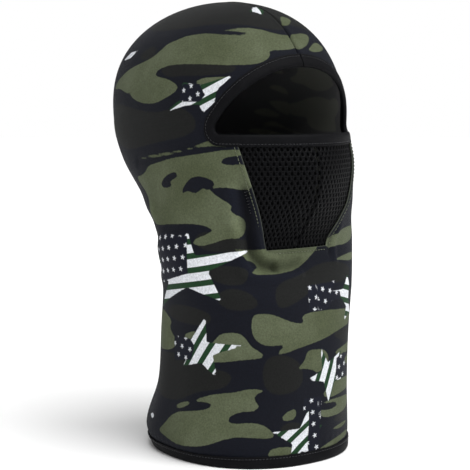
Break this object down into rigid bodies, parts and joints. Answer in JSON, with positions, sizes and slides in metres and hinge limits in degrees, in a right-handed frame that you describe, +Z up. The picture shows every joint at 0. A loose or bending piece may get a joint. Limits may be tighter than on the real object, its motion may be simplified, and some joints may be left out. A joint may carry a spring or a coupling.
{
  "type": "balaclava face mask",
  "caption": "Pull-on stretch balaclava in camo print with a mesh mouth panel and black tape round the eye opening and hem, shaped as worn.",
  "frame": {"origin": "inside of the crown, where the mask rests on the top of the head", "axes": "+Z up along the head, -Y the way the face looks, -X the wearer's right"},
  "size_m": [0.1674, 0.2221, 0.348],
  "materials": {
    "camo_knit": "matt printed stretch knit",
    "black_tape": "matt elastic tape with a slight sheen",
    "black_mesh": "open spacer mesh",
    "black_lining": "matt thin knit",
    "green_thread": "polyester sewing thread",
    "black_thread": "polyester sewing thread"
  },
  "bodies": {
    "root": {"camo_hood": "camo_knit", "eye_binding": "black_tape", "hem_binding": "black_tape", "right_mesh_panel": "black_mesh", "left_mesh_panel": "black_mesh", "right_mesh_lining": "black_lining", "left_mesh_lining": "black_lining", "right_mesh_topstitch": "green_thread", "left_mesh_topstitch": "green_thread", "lower_mesh_topstitch": "green_thread", "right_mesh_overlock": "black_thread", "left_mesh_overlock": "black_thread", "lower_mesh_overlock": "black_thread", "nose_seam_overlock": "black_thread", "back_seam_overlock": "black_thread", "eye_binding_stitch": "black_thread", "hem_binding_stitch": "black_thread"}
  },
  "joints": []
}
